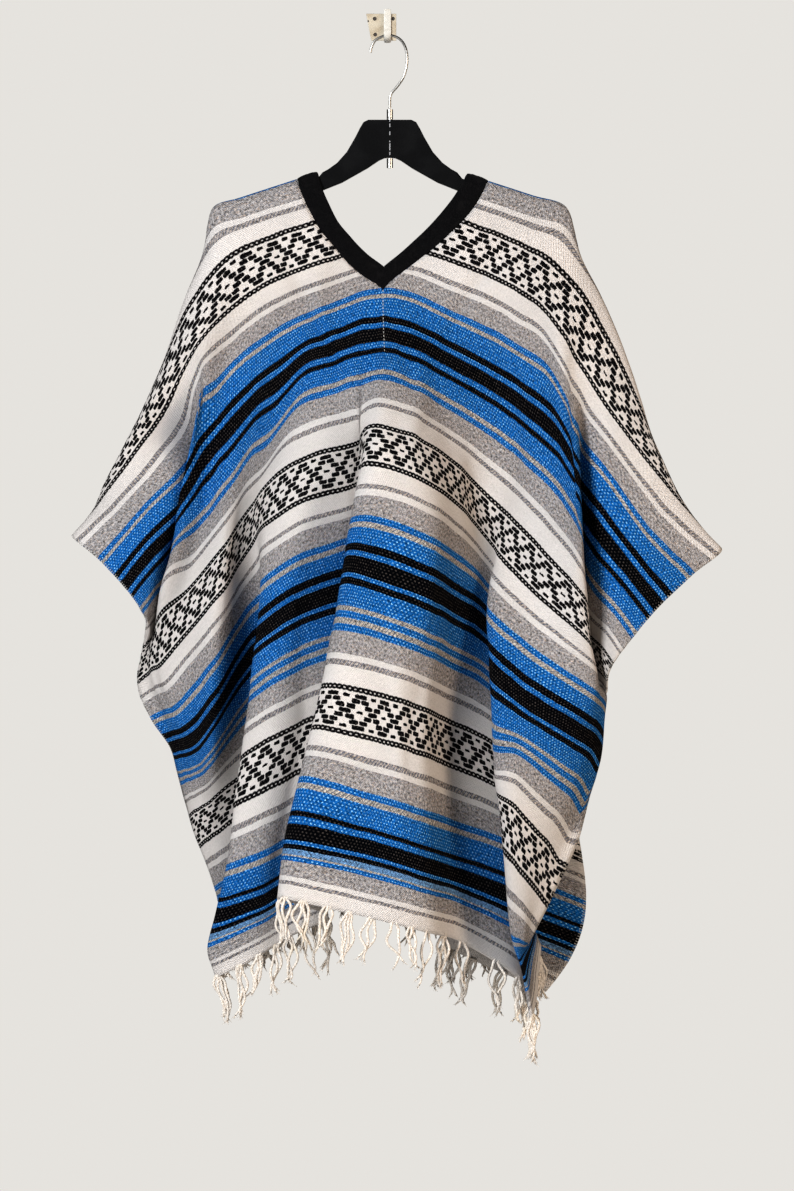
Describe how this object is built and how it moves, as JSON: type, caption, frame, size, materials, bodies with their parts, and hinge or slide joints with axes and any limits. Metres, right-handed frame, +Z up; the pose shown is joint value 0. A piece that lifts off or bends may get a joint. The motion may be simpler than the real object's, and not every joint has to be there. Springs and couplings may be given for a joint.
{
  "type": "striped blanket poncho on a clothes hanger",
  "caption": "Woven serape poncho with fringed hems and a banded V neck, draped on a moulded hanger that hangs from a small wall hook.",
  "frame": {"origin": "middle of the back face of the hook's wall plate, on the wall plane Y = 0", "axes": "+Z up, -Y out of the wall towards the viewer and the garment's front, +X to the viewer's right"},
  "size_m": [0.8141, 0.2325, 1.3337],
  "materials": {
    "striped_blanket_cloth": "coarse brushed weave in cream, grey, blue, beige and black stripes",
    "black_fleece": "matt napped fleece",
    "white_yarn": "twisted loose yarn",
    "black_plastic": "satin moulded",
    "bright_steel": "bright plated",
    "cream_painted_steel": "smooth paint"
  },
  "bodies": {
    "root": {"blanket": "striped_blanket_cloth", "neck_band_left": "black_fleece", "neck_band_right": "black_fleece", "fringe_left": "white_yarn", "fringe_middle": "white_yarn", "fringe_corner": "white_yarn", "fringe_back": "white_yarn", "hanger": "black_plastic", "hook_wire": "bright_steel", "upper_ferrule": "bright_steel", "lower_ferrule": "bright_steel", "wall_plate": "cream_painted_steel", "prong": "cream_painted_steel"}
  },
  "joints": []
}
